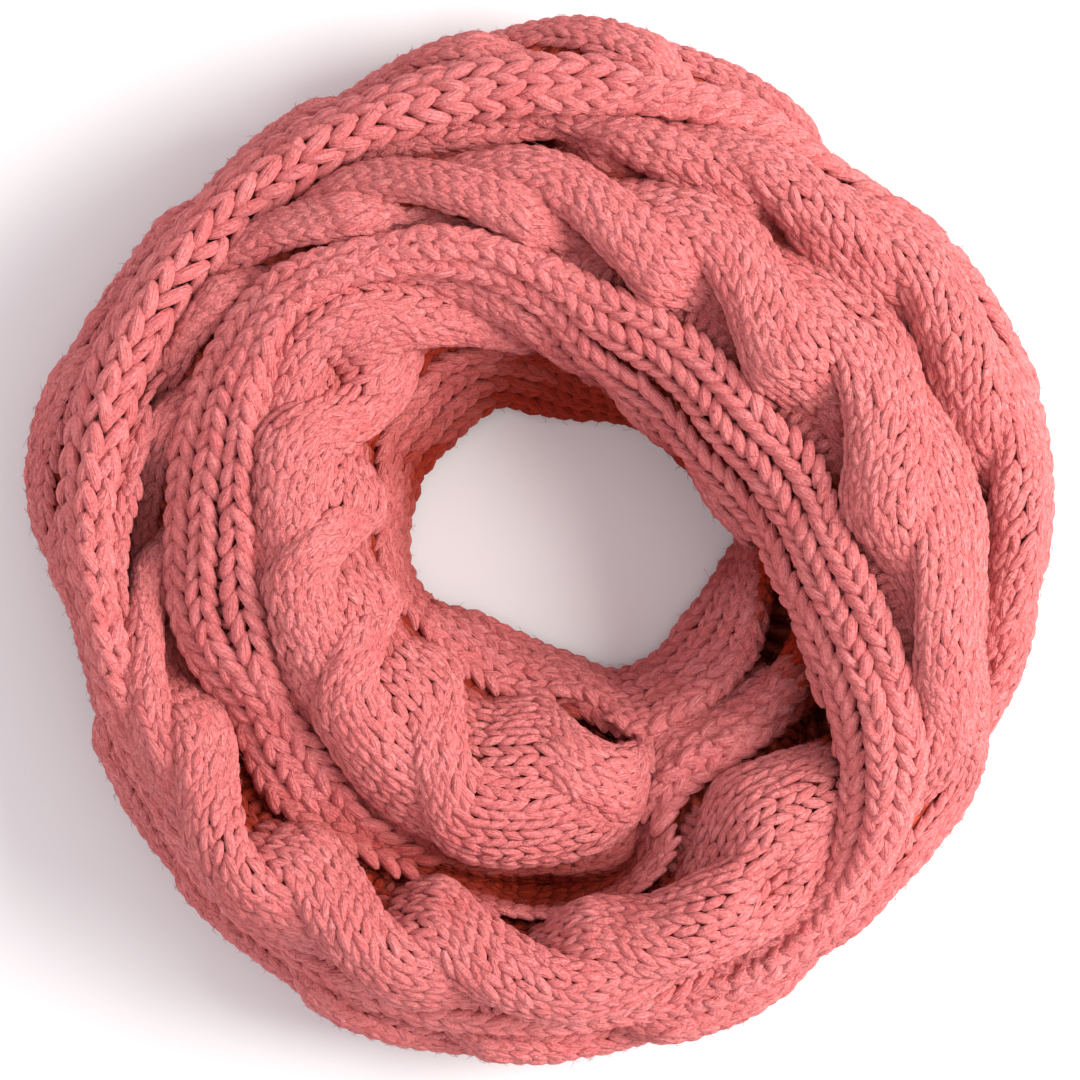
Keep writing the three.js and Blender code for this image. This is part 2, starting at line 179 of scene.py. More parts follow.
# How far apart the ribs' long stitches lie at some turns, and the row that suits their length
RIB_TURNS = [90, 150, 236, 320, 404, 448, 500, 604, 640, 682, 766, 845]
RIB_ROWS = [6.6, 7.2, 7.6, 7.2, 6.0, 6.0, 6.8, 8.0, 10.5, 10.0, 9.0, 8.0]
RIB_OWN_ROW = 9.0

# Rib columns: how far across, to which turn, and how far a rib's middle stands out
HALF_RIB, RIB_ROUND = 5.0, 1.8  # at this half width its sides have fallen away so far
RIB_END, RIB_LIFT = 845, 1.4
RIBS = [
    (28, RIB_END, -1.6),  # the outer hem's, tucked in below the cable
    (97, RIB_END, RIB_LIFT),
    (107, RIB_END, RIB_LIFT),
    (117, RIB_END, RIB_LIFT),
    (127, 156, RIB_LIFT),  # two more where the band closes on itself
    (177, 156, RIB_LIFT),
    (123, 470, -2.4),  # two sunk beside the inner cable
    (181, 470, -2.4),
]
HEM_SIDE = 180  # from here to the inner hem the ribs have the hem's rows
HEM_RIBS = (187, 197, 207, 217)
HEM_COLUMN = 8.6  # these are narrower, with a groove between each two

# In the deep recess at the front the middle ribs give way to plain columns
RECESS = (157, 199)
RECESS_MIDDLE, RECESS_HALF = 107, 15
PLAIN_COLUMNS = (90, 94.5, 99, 103, 106, 108, 111, 115, 119.5)
PLAIN_COLUMN, PLAIN_LIFT = 4.6, -1

# Gutters filled with purl bumps: how far across, from one turn to another, how deep
PURLS = [
    (33, 112, 448, 4.5),
    (91, 90, 845, 6.4),
    (102, 90, 845, 3.0),
    (112, 90, 845, 3.0),
    (123, 90, 470, 3.6),
    (123, 470, 845, 6.4),
    (181, 90, 470, 3.6),
    (181, 470, 845, 6.4),
    (92.5, 488, 512, 2.4),
]

# A straight column is marked by a slant that never swings it across, with no crossing near it
STRAIGHT, FAR = 99, 1e4

# How much a hand knitter's strokes of yarn stray: in lean (radians), length (share) and place
LEAN_STRAY, LENGTH_STRAY, PLACE_STRAY = 0.08, 0.05, 0.25
# Loose fibres: how many for each leg of a stitch, the least and greatest share of their length,
# how far they bend sideways, tilt and lie above the yarn, and how far their ends droop
FUZZY = 0.75
FIBRE_LENGTHS = (0.4, 1.3)
FIBRE_BEND, FIBRE_TILT, FIBRE_LIFT, FIBRE_DROOP = 1.0, 1.1, 0.9, 0.5

# The map of the knitting's height, for the shade painted into the yarn's colour in its hollows
CELL = 3.0
MAP_SIZE = 140  # cells
# Cells over which the map is averaged three times over, and the millimetres below that average
# at which a stitch is wholly in its surroundings' shade: once for wide hollows, once for creases
SHADES = [(9, 30.0), (3, 22.0)]
RING_EDGE = 172.0  # beyond this radius there is only the surface it lies on
# The outer wall comes into the light between these radii, and loses this share of its painted
# shade
WALL_RADII, WALL_LIGHT = (148, 160), 0.8
# The inner hem lies in the light too: from here across it loses this share of its painted
# shade, and less of it once past the left side's turns
HEM_ACROSS, HEM_LIGHT = (178, 190), 0.7
LEFT_TURNS, LEFT_LOSS = (265, 315), 0.35


# ---------------------------------------------------------------- the band's form


def slopes(knots, values):
    """A curve's slope at each knot, set by its neighbours. The last axis runs over the knots."""
    ends = np.r_[knots[:1], knots, knots[-1:]]
    padded = np.concatenate([values[..., :1], values, values[..., -1:]], -1)
    return (padded[..., 2:] - padded[..., :-2]) / (ends[2:] - ends[:-2])


def smooth_at(knots, values, t, each=False):
    """Smooth curves through values at uneven knots: all of them at all t, or each at its own."""
    beyond = t - np.clip(t, knots[0], knots[-1])
    t = t - beyond
    i = np.clip(np.searchsorted(knots, t, side="right") - 1, 0, len(knots) - 2)
    span = knots[i + 1] - knots[i]
    s = (t - knots[i]) / span
    rows = np.arange(len(t)) if each else Ellipsis
    slope = slopes(knots, values)
    rise = values[rows, i + 1] - values[rows, i]
    m0, m1 = slope[rows, i] * span, slope[rows, i + 1] * span
    past = beyond * np.where(beyond > 0, slope[rows, i + 1], slope[rows, i])
    inside = m0 + s * (3 * rise - 2 * m0 - m1 + s * (m0 + m1 - 2 * rise))
    return values[rows, i] + s * inside + past


def ring_place(across, turn):
    """The radius and height of places on the cloth's own face."""
    across, turn = (a.astype(float) for a in np.broadcast_arrays(across, turn))
    return np.array([smooth_at(ACROSS, smooth_at(TURNS, lines, turn).T, across, each=True)
                     for lines in (RADII, HEIGHTS)])


def round_axis(radius, height, turn):
    """Places at these radii and heights round the ring's axis."""
    angle = np.radians(turn)
    x, y = RING_AXIS[0] + radius * np.sin(angle), RING_AXIS[1] + radius * np.cos(angle)
    return np.stack([x, y, height], -1)


def cloth_at(across, turn):
    """Places on the cloth's own face."""
    return round_axis(*ring_place(across, turn), turn)


def hollowed(across, turn):
    """How far the hollows press the cloth down."""
    depth = np.zeros(np.shape(turn))
    for at_turn, at_across, long, wide, deep in HOLLOWS:
        along = np.radians(turn - at_turn) * MEAN_RADIUS
        depth += deep * np.exp(-((along / long) ** 2) - ((across - at_across) / wide) ** 2)
    return depth


def unit(vectors):
    return vectors / np.maximum(np.linalg.norm(vectors, axis=-1, keepdims=True), 1e-9)


def raised(across, turn, height):
    """Places so far above the cloth along its own normal, never below the lowest yarn."""
    across, turn, height = np.broadcast_arrays(across, turn, height)
    height = height - hollowed(across, turn)
    along_band = cloth_at(across, turn + 1) - cloth_at(across, turn - 1)
    across_band = cloth_at(across + 1, turn) - cloth_at(across - 1, turn)
    place = cloth_at(across, turn) + unit(np.cross(across_band, along_band)) * height[:, None]
    place[:, 2] = np.maximum(place[:, 2], LOWEST)
    return place


def soft_step(low, high, value):
    """0 below low, 1 above high and smooth between."""
    t = np.clip((value - low) / (high - low), 0, 1)
    return t * t * (3 - 2 * t)


def strand_way(before, here, after, turn):
    """-1 where a strand comes up, 0 where it lies across the other and 1 where it goes down."""
    reach = np.where(turn < here, here - before, after - here)
    return (turn - here) / reach


def cable_at(cable, turn):
    """The middle, slant, dive and spread of the strand that crosses over at this turn."""
    return [float(np.interp(turn, *zip(*cable[part]))) for part in FORM]


def strand_path(middle, slant, spread, way):
    """How far across the band a strand lies."""
    swing = np.sin(math.pi / 2 * np.clip((way + LEAD) / slant, -1, 1))
    return middle + spread * SWING * swing


def strand_height(way, off, dive):
    """How high a strand's back stands, off being -1 and 1 at its two edges."""
    rounded = np.sqrt(np.clip(1 - np.abs(off) ** ROUNDNESS, 0, 1))
    dip = dive * (RISE * (1 - soft_step(*COMES_UP, way)) + soft_step(*GOES_DOWN, way))
    return np.maximum(PAD * rounded - dip - SUNK, -VALLEY)


def cable_height(cable, across, turn):
    """The height of a cable's uppermost strand."""
    height = np.full(np.shape(turn), -VALLEY)
    crossings = cable["crossings"]
    for before, here, after in zip(crossings, crossings[1:], crossings[2:]):
        way = strand_way(before, here, after, turn)
        near = np.abs(way) < REACH
        way = way[near]
        middle, slant, dive, spread = cable_at(cable, here)
        off = (across[near] - strand_path(middle, slant, spread, way)) / (STRAND * spread)
        top = np.where(np.abs(off) < 1, strand_height(way, off, dive), -VALLEY)
        height[near] = np.maximum(height[near], top)
    return height


def ground_height(across, turn):
    """The knitted ground below the stitches: the cables' strands, and valleys at the ribs."""
    height = np.full(across.shape, -RIB_VALLEY)
    for cable in (BIG_CABLE, SMALL_CABLE):
        middle, half = (np.interp(turn, *zip(*cable[part])) for part in ("middle", "spread"))
        inside = np.abs(across - middle) < HALF_CABLE * half
        height[inside] = cable_height(cable, across[inside], turn[inside])
    return height - GROUND_DEPTH


# ---------------------------------------------------------------- meshes


def new_object(name, data):
    made = bpy.data.objects.new(name, data)
    bpy.context.scene.collection.objects.link(made)
    return made


def mesh_from(name, bm):
    mesh = bpy.data.meshes.new(name)
    bm.to_mesh(mesh)
    bm.free()
    return mesh


def knit_piece(name, mesh, finish):
    """A piece of the scarf, on its one body."""
    mesh.materials.append(finish)
    piece = new_object(name, mesh)
    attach(piece, "root")
    return piece


def smooth_grid(steps_across, steps_round):
    """A smooth grid, and how far across and round it its corners lie, from 0 to 1."""
    bm = bmesh.new()
    bmesh.ops.create_grid(bm, x_segments=steps_across, y_segments=steps_round, size=0.5)
    for face in bm.faces:
        face.smooth = True
    corners = np.array([v.co[:] for v in bm.verts]) + 0.5
    return bm, corners[:, 0], corners[:, 1]


def move_to(bm, places):
    for vert, place in zip(bm.verts, places * MM):
        vert.co = place


def cloth_shell(name, first, last, outer, inner):
    """A stretch's thin knitted ground, with a UV that runs across and along it."""
    degrees, width = 2, 3.5  # the size of a face
    bm, across, turn = smooth_grid(round((inner - outer) / width), round((last - first) / degrees))
    across, turn = outer + across * (inner - outer), first + turn * (last - first)
    knit = bm.loops.layers.uv.new("knit")
    for face in bm.faces:
        for corner in face.loops:
            at = corner.vert.index
            corner[knit].uv = across[at], math.radians(turn[at]) * MEAN_RADIUS
    move_to(bm, raised(across, turn, ground_height(across, turn)))
    # its ground finish is dark red: the creases' painted shade
    return knit_piece(name, mesh_from(name, bm), GROUND)


def hidden_layers():
    """The rolled layers below both turns, one soft closed roll with a flat underside."""
    name = "hidden_layers_roll"
    first, margin = 140, 12  # it starts at this turn and keeps so far inside the turns' edges
    below, least = 14, 12  # it lies so far below the cloth, and is at least so high
    squareness, creases, crease = 0.6, 36, 0.03
    back, hem, gutter, groove = 62, 182, 92, 26  # the lines across the band that it lies below
    bm, side, along = smooth_grid(32, 120)
    turn, angle = first + along * 360, side * 2 * math.pi
    over, under = np.minimum(turn + 360, TURNS[-1]), np.maximum(turn - 360, TURNS[0])
    swap = soft_step(450, 490, turn)  # the two turns change places here
    outer = ring_place(back, over) * (1 - swap) + ring_place(back, turn) * swap
    inner = ring_place(hem, turn) * (1 - swap) + ring_place(hem, under) * swap
    low = np.minimum(ring_place(gutter, over)[1], ring_place(groove, turn)[1]) * (1 - swap)
    low += np.minimum(ring_place(gutter, turn)[1], ring_place(gutter, under)[1]) * swap
    middle, half = (outer[0] + inner[0]) / 2, (outer[0] - inner[0]) / 2 - margin
    sideways, up = np.cos(angle), np.clip(np.sin(angle), 0, 1)
    radius = middle - half * np.sign(sideways) * np.abs(sideways) ** squareness
    folds = 1 + crease * np.sin(np.radians(turn) * creases) * up
    height = np.maximum(low - below, least) * up ** squareness * folds + LOWEST
    move_to(bm, round_axis(radius, height, turn))
    bmesh.ops.remove_doubles(bm, verts=bm.verts, dist=0.2 * MM)
    bmesh.ops.recalc_face_normals(bm, faces=bm.faces)
    # in the ground's finish, so its dark red is painted shade too
    roll = knit_piece(name, mesh_from(name, bm), GROUND)
    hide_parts("hidden_layers")


def leg_shape(sides, rings, length, width, thickness):
    """One leg of a stitch: a plump stroke of yarn along X, with its own UV round and along."""
    plumpness = 0.7  # 1 would be an ellipsoid
    bm = bmesh.new()
    bm.loops.layers.uv.new("yarn")
    bmesh.ops.create_uvsphere(bm, u_segments=sides, v_segments=rings, radius=1, calc_uvs=True)
    mesh = mesh_from("leg", bm)
    co = np.array([v.co[:] for v in mesh.vertices])
    around = np.linalg.norm(co[:, :2], axis=1)
    plump = np.where(around > 1e-6, around ** plumpness / np.maximum(around, 1e-6), 0)[:, None]
    co[:, :2] *= plump
    points = np.stack([co[:, 2] * length / 2, co[:, 0] * width / 2, co[:, 1] * thickness / 2], -1)
    leg = {
        "points": points,
        "thickness": np.ptp(points[:, 2]),
        "corners": np.array([corner.vertex_index for corner in mesh.loops]),
        "sizes": np.array([face.loop_total for face in mesh.polygons]),
        "uv": np.array([corner.uv[:] for corner in mesh.uv_layers["yarn"].data]),
    }
    bpy.data.meshes.remove(mesh)
    return leg


def joined(name, leg, places, shades):
    """One mesh of many legs: the points of each, and numbers for each that tint its yarn: its own
    tone and its painted shade.
    """
    count, size = places.shape[:2]
    corners = (leg["corners"] + size * np.arange(count)[:, None]).ravel()
    sizes = np.tile(leg["sizes"], count)
    mesh = bpy.data.meshes.new(name)
    mesh.vertices.add(count * size)
    mesh.vertices.foreach_set("co", (places * MM).ravel())
    mesh.loops.add(len(corners))
    mesh.loops.foreach_set("vertex_index", corners)
    mesh.polygons.add(len(sizes))
    mesh.polygons.foreach_set("loop_start", np.r_[0, np.cumsum(sizes)[:-1]])
    mesh.polygons.foreach_set("use_smooth", np.ones(len(sizes), bool))
    mesh.uv_layers.new(name="yarn")
    mesh.uv_layers["yarn"].data.foreach_set("uv", np.tile(leg["uv"], (count, 1)).ravel())
    for attribute, values in shades.items():
        layer = mesh.attributes.new(attribute, "FLOAT", "POINT")
        layer.data.foreach_set("value", np.repeat(values, size))
    mesh.update(calc_edges=True)
    mesh.validate()
    knit_piece(name, mesh, WOOL)


# ---------------------------------------------------------------- stitches


def rows_along(across_at, first, last, pitch_at):
    """The turns at which rows of stitches lie, evenly spaced along a line of the cloth."""
    turns = np.linspace(first, last, max(40, round(last - first)))
    places = cloth_at(across_at(turns), turns)
    rows = np.linalg.norm(np.diff(places, axis=0), axis=1) / pitch_at(turns[1:])
    far = np.r_[0, np.cumsum(rows)]
    count = max(2, round(far[-1]))
    return np.interp(np.linspace(0, far[-1], count + 1), far, turns)


def leg_pairs(turns, off, column, form, crossings, size=1.0, lift=0.0):
    """The two legs of each stitch in a column: where they lie and which strand bears them."""
    side = np.tile([-1.0, 1.0], len(turns))
    same = np.ones_like(side)
    return {"turn": np.repeat(turns, 2), "side": side, "off": off + side * column / 4,
            **{part: value * same for part, value in zip(FORM, form)},
            **{at: turn * same for at, turn in zip(("before", "here", "after"), crossings)},
            "size": np.repeat(size * np.ones_like(turns), 2), "lift": lift * same}


def strand_stitches(cable, k):
    """The legs of one strand's stitches, column by column."""
    before, here, after = cable["crossings"][k - 1 : k + 2]
    middle, slant, dive, spread = form = cable_at(cable, here)

    def path(turn):
        return strand_path(middle, slant, spread, strand_way(before, here, after, turn))

    first, last = here - REACH * (here - before), here + REACH * (after - here)
    turns = rows_along(path, max(first, TURNS[0]), min(last, TURNS[-1]), lambda turn: ROW)
    wide = 2 * STRAND * spread / COLUMNS
    offs = [(column - (COLUMNS - 1) / 2) * wide for column in range(COLUMNS)]
    return [leg_pairs(turns, off, wide, form, (before, here, after)) for off in offs]


def straight_stitches(across, first, last, pitch_at, column, lift, own_row=None):
    """The legs of one straight column, longer where its rows are longer than its own."""
    turns = rows_along(lambda turn: across + 0 * turn, first, last, pitch_at)
    size = np.sqrt(pitch_at(turns) / own_row) if own_row else 1.0
    return leg_pairs(turns, 0, column, (across, STRAIGHT, 0, 1), (-FAR, 0, FAR), size, lift)


def rib_stitches(across, last, lift, column=2 * HALF_RIB):
    """The legs of one rib column's long stitches, with a gap at the recess."""
    def pitch(turn):
        return HEM_ROW if across > HEM_SIDE else np.interp(turn, RIB_TURNS, RIB_ROWS)

    legs = straight_stitches(across, TURNS[0], last, pitch, column, lift, RIB_OWN_ROW)
    recess = (legs["turn"] > RECESS[0]) & (legs["turn"] < RECESS[1])
    return some(legs, ~(recess & (abs(across - RECESS_MIDDLE) < RECESS_HALF)))


def plain_stitches(across):
    """The legs of one plain column in the recess."""
    return straight_stitches(across, *RECESS, lambda turn: ROW, PLAIN_COLUMN, PLAIN_LIFT)


def purl_stitches(across, first, last, sunk):
    """The purl bumps of one gutter, one across it in each row."""
    purls = straight_stitches(across, first, last, lambda turn: PURL_ROW, 0, -sunk)
    return some(purls, purls["side"] > 0)


def together(parts):
    """The legs of all these parts in one."""
    return {key: np.concatenate([part[key] for part in parts]) for key in parts[0]}


def some(legs, keep):
    """The legs that are kept."""
    return {key: values[keep] for key, values in legs.items()}


def strand_level(legs, off, turn):
    """How high the legs' own strands stand."""
    way = strand_way(legs["before"], legs["here"], legs["after"], turn)
    off = np.clip(off / (STRAND * legs["spread"]), -EDGE, EDGE)
    return strand_height(way, off, legs["dive"])


def laid(legs, off, turn):
    """Places on the legs' own strands or ribs, and how far across the band they are."""
    way = strand_way(legs["before"], legs["here"], legs["after"], turn)
    path = strand_path(legs["middle"], legs["slant"], legs["spread"], way)
    on_rib = legs["slant"] == STRAIGHT
    across = np.where(on_rib, legs["middle"], path) + off
    rib_level = legs["lift"] - RIB_ROUND * (off / HALF_RIB) ** 2
    level = np.where(on_rib, rib_level, strand_level(legs, off, turn))
    return raised(across, turn, level), across


def ways(legs):
    """Each leg's place, and the ways along its column, across it and out of the knitting."""
    off, turn, step = legs["off"], legs["turn"], 0.8
    along = unit(laid(legs, off, turn + step)[0] - laid(legs, off, turn - step)[0])
    over = laid(legs, off + step, turn)[0] - laid(legs, off - step, turn)[0]
    normal = unit(np.cross(over, along))
    return laid(legs, off, turn)[0], (along, np.cross(normal, along), normal)


def moved(place, directions, amounts):
    """Points at these amounts along each of three directions from their places."""
    moves = sum(way[:, None, :] * far[:, :, None] for way, far in zip(directions, amounts))
    points = place[:, None, :] + moves
    points[:, :, 2] = np.maximum(points[:, :, 2], LOWEST)
    return points


def placed(leg, legs, lean, sag):
    """The points of each leg, laid stiffly on its strand or rib and leaning to its pair."""
    place, directions = ways(legs)
    count = len(place)
    angle = (math.radians(lean) + draw.normal(0, LEAN_STRAY, count)) * legs["side"]
    size = legs["size"] * draw.normal(1, LENGTH_STRAY, count)
    place = place + draw.normal(0, PLACE_STRAY, (count, 3))
    cos, sin = np.cos(angle)[:, None], np.sin(angle)[:, None]
    x, y, z = leg["points"].T[:, None, :]
    forward = (x * cos - y * sin) * size[:, None]
    sideways = x * sin + y * cos
    up = z - sag * (x / np.abs(x).max()) ** 2 + 0 * forward
    return moved(place, directions, (forward, sideways, up))


def fuzz(legs, thickness):
    """Loose fibres, one on each of these legs, lying any way and curving a little."""
    place, directions = ways(legs)
    count = len(place)
    # two draws, not one angle's, so that the fibres also differ in length
    cos, sin = (f(draw.uniform(0, 2 * math.pi, count))[:, None] for f in (np.cos, np.sin))
    long = draw.uniform(*FIBRE_LENGTHS, count)[:, None]
    bend = draw.normal(0, FIBRE_BEND, count)[:, None]
    tilt = draw.normal(0, FIBRE_TILT, count)[:, None]
    lift = thickness / 2 + draw.uniform(0, FIBRE_LIFT, count)[:, None]
    x, y, z = HAIR["points"].T[:, None, :]
    end = x / np.abs(x).max()
    forward, sideways = x * long, y + bend * end ** 2
    turned = (forward * cos - sideways * sin, forward * sin + sideways * cos)
    return moved(place, directions, (*turned, z + lift + tilt * end - FIBRE_DROOP * end ** 2))


def map_cells(places):
    return np.clip(np.round(places[:, :2] / CELL).astype(int) + MAP_SIZE // 2, 0, MAP_SIZE - 1)


def knit_surface(runs, reach):
    """A soft map of how high the knitting lies round each place, from all its stitches."""
    centres = np.concatenate([places.mean(axis=1) for places in runs])
    cells = map_cells(centres)
    height = np.zeros((MAP_SIZE, MAP_SIZE))
    np.maximum.at(height, (cells[:, 0], cells[:, 1]), centres[:, 2])
    x, y = np.indices(height.shape) * CELL - MAP_SIZE // 2 * CELL
    there = (height > 0) | (np.hypot(x - RING_AXIS[0], y - RING_AXIS[1]) > RING_EDGE)
    kernel = np.ones(reach) / reach
    soft = [height, there.astype(float)]
    for axis in (0, 1, 0, 1, 0, 1):
        soft = [np.apply_along_axis(np.convolve, axis, part, kernel, "same") for part in soft]
    return soft[0] / np.maximum(soft[1], 1e-3)


def depth_below(surfaces, places):
    """How much painted shade a stitch gets: 0 where it lies at the top and 1 where it lies deep
    between others.
    """
    centres = places.mean(axis=1)
    cells = map_cells(centres)
    below = [(surface[cells[:, 0], cells[:, 1]] - centres[:, 2]) / deep
             for surface, (reach, deep) in zip(surfaces, SHADES)]
    radius = np.hypot(*(centres[:, :2] - RING_AXIS).T)
    return np.clip(np.maximum(*below), 0, 1) * (1 - WALL_LIGHT * soft_step(*WALL_RADII, radius))


def shade_share(legs):
    """The share of its depth's painted shade that each stitch has: the near hem lies in the light.
    """
    hem = soft_step(*HEM_ACROSS, legs["middle"]) * (legs["slant"] == STRAIGHT)
    return 1 - hem * (HEM_LIGHT - LEFT_LOSS * soft_step(*LEFT_TURNS, legs["turn"]))


def buried(cable, legs):
    """Which legs lie below a neighbouring strand."""
    off, turn = legs["off"], legs["turn"]
    top = cable_height(cable, laid(legs, off, turn)[1], turn)
    return top - strand_level(legs, off, turn) > HIDDEN


def in_stretch(legs, first, last, outer, inner):
    """Which legs lie on a stretch, up to a millimetre past its edges."""
    turn = legs["turn"]
    across = laid(legs, legs["off"], turn)[1]
    return (turn >= first) & (turn < last) & (across > outer - 1) & (across < inner + 1)


def all_legs():
    """The legs of every stitch in the band, by kind."""
    legs = {}
    for kind, cable in (("big_cable", BIG_CABLE), ("small_cable", SMALL_CABLE)):
        strands = range(1, len(cable["crossings"]) - 1)
        own = together([column for k in strands for column in strand_stitches(cable, k)])
        legs[kind] = some(own, ~buried(cable, own))
    legs["ribs"] = together([rib_stitches(*rib) for rib in RIBS])
    hem = [rib_stitches(across, RIB_END, RIB_LIFT, HEM_COLUMN) for across in HEM_RIBS]
    legs["hem_ribs"] = together(hem)
    legs["plain_knit"] = together([plain_stitches(across) for across in PLAIN_COLUMNS])
    legs["purls"] = together([purl_stitches(*gutter) for gutter in PURLS])
    return legs


# ---------------------------------------------------------------- finishes


def linear(hex_colour):
    """An sRGB hex colour as linear red, green, blue and 1."""
    rgb = [int(hex_colour[i : i + 2], 16) / 255 for i in (1, 3, 5)]
    return [c / 12.92 if c <= 0.04045 else ((c + 0.055) / 1.055) ** 2.4 for c in rgb] + [1]


COLOUR_A, COLOUR_B, COLOUR_OUT = 6, 7, 2  # a Mix node's sockets for colours


def node(tree, kind, links=None, values=None, stops=(), **settings):
    """A node with its settings, its sockets' own values, its colour stops and what feeds it."""
    made = tree.nodes.new(kind)
    for key, value in settings.items():
        setattr(made, key, value)
    for key, value in (values or {}).items():
        made.inputs[key].default_value = value
    for k, (position, colour) in enumerate(stops):
        stop = made.color_ramp.elements[k] if k < 2 else made.color_ramp.elements.new(position)
        stop.position, stop.color = position, linear(colour)
    for key, source in (links or {}).items():
        tree.links.new(source, made.inputs[key])
    return made


def matt_material(name, roughness, specular=0.5):
    """A new matt material, with its nodes and its shader."""
    material = bpy.data.materials.new(name)
    material.use_nodes = True
    shader = material.node_tree.nodes["Principled BSDF"]
    shader.inputs["Roughness"].default_value = roughness
    shader.inputs["Specular IOR Level"].default_value = specular
    return material, material.node_tree, shader


def wool_yarn():
    """Chunky brushed wool: matt, soft at its edges, with fine plies along each stroke of yarn, and
    shade painted into its colour in its grooves and hollows.
    """
    plies_round, plies_along = 14.0, 1.6  # how many lie round a stroke of yarn, and along it
    unlike = 40.0  # how far apart the plies of two tones are taken from their pattern
    ply_edges = {"From Min": 0.33, "From Max": 0.62}
    tufts, clouds = 850.0, 60.0  # to a metre: tufts of fibre of 1.2 mm, and tone over 17 mm
    tuft_height, tone_contrast = 2.6, 0.35  # against the plies' height, and the clouds' tone
    material, tree, shader = matt_material("chunky brushed wool yarn", 0.92, 0.15)
    shader.inputs["Sheen Roughness"].default_value = 0.5
    shader.inputs["Sheen Tint"].default_value = linear("#ff9c98")
    place = node(tree, "ShaderNodeTexCoord")
    uv = node(tree, "ShaderNodeUVMap", uv_map="yarn")
    split = node(tree, "ShaderNodeSeparateXYZ", {"Vector": uv.outputs["UV"]})
    tone = node(tree, "ShaderNodeAttribute", attribute_name="tone")
    depth = node(tree, "ShaderNodeAttribute", attribute_name="depth")

    around = node(tree, "ShaderNodeMath", {0: split.outputs["X"], 2: split.outputs["Y"]},
                  {1: plies_round}, operation="MULTIPLY_ADD")
    seed = node(tree, "ShaderNodeMath", {0: tone.outputs["Fac"]}, {1: unlike},
                operation="MULTIPLY")
    length = node(tree, "ShaderNodeMath", {0: split.outputs["Y"], 2: seed.outputs[0]},
                  {1: plies_along}, operation="MULTIPLY_ADD")
    twisted = node(tree, "ShaderNodeCombineXYZ", {"X": around.outputs[0], "Y": length.outputs[0]})
    noise = node(tree, "ShaderNodeTexNoise", {"Vector": twisted.outputs[0]},
                 {"Scale": 1.5, "Detail": 2.0})
    plies = node(tree, "ShaderNodeMapRange", {"Value": noise.outputs["Fac"]}, ply_edges)
    fibres = node(tree, "ShaderNodeTexNoise", {"Vector": place.outputs["Object"]},
                  {"Scale": tufts, "Detail": 4.0, "Roughness": 0.65, "Distortion": 0.6})
    heights = node(tree, "ShaderNodeMath", {0: fibres.outputs["Fac"], 2: plies.outputs[0]},
                   {1: tuft_height}, operation="MULTIPLY_ADD")
    bump = node(tree, "ShaderNodeBump", {"Height": heights.outputs[0]},
                {"Strength": 1.0, "Distance": 0.6 * MM})
    tree.links.new(bump.outputs["Normal"], shader.inputs["Normal"])
    # the sheen fades out where the painted shade of the hollows deepens
    sheen = node(tree, "ShaderNodeMapRange", {"Value": depth.outputs["Fac"]},
                 {"To Min": 0.3, "To Max": 0.0})
    tree.links.new(sheen.outputs[0], shader.inputs["Sheen Weight"])

    # the open wool's uneven dye, then the painted shade that darkens it: in the grooves between
    # plies, where fibres lie low, and in hollows by each stitch's depth
    cloudy = node(tree, "ShaderNodeTexNoise", {"Vector": place.outputs["Object"]},
                  {"Scale": clouds, "Detail": 3.0})
    dye = node(tree, "ShaderNodeMath", {0: tone.outputs["Fac"], 2: cloudy.outputs["Fac"]},
               {1: tone_contrast}, operation="MULTIPLY_ADD")
    open_wool = node(tree, "ShaderNodeValToRGB", {"Fac": dye.outputs[0]},
                     stops=[(0, "#f0868d"), (1, "#fea9ae")])
    # painted shade in the grooves between the plies, where their bump lies low
    ply_groove_shade = node(tree, "ShaderNodeValToRGB", {"Fac": plies.outputs[0]},
               stops=[(0, "#ead6d2"), (1, "#ffffff")])
    # flecks: the fibres' own uneven tone, and painted shade where their bump lies low
    flecks = node(tree, "ShaderNodeValToRGB", {"Fac": fibres.outputs["Fac"]},
                  stops=[(0.32, "#e6caca"), (0.6, "#ffffff")])
    # painted shade in the hollows: orange-brown, deeper the lower a stitch lies among the others
    painted_hollow_shade = node(tree, "ShaderNodeValToRGB", {"Fac": depth.outputs["Fac"]},
                     stops=[(0.12, "#ffffff"), (0.5, "#ac5c34"), (1, "#b65a2c")])
    colour = open_wool.outputs["Color"]
    for layer in (ply_groove_shade, flecks, painted_hollow_shade):
        darker = node(tree, "ShaderNodeMix", {COLOUR_A: colour, COLOUR_B: layer.outputs["Color"]},
                      {"Factor": 1.0}, data_type="RGBA", blend_type="MULTIPLY")
        colour = darker.outputs[COLOUR_OUT]
    tree.links.new(colour, shader.inputs["Base Color"])
    return material


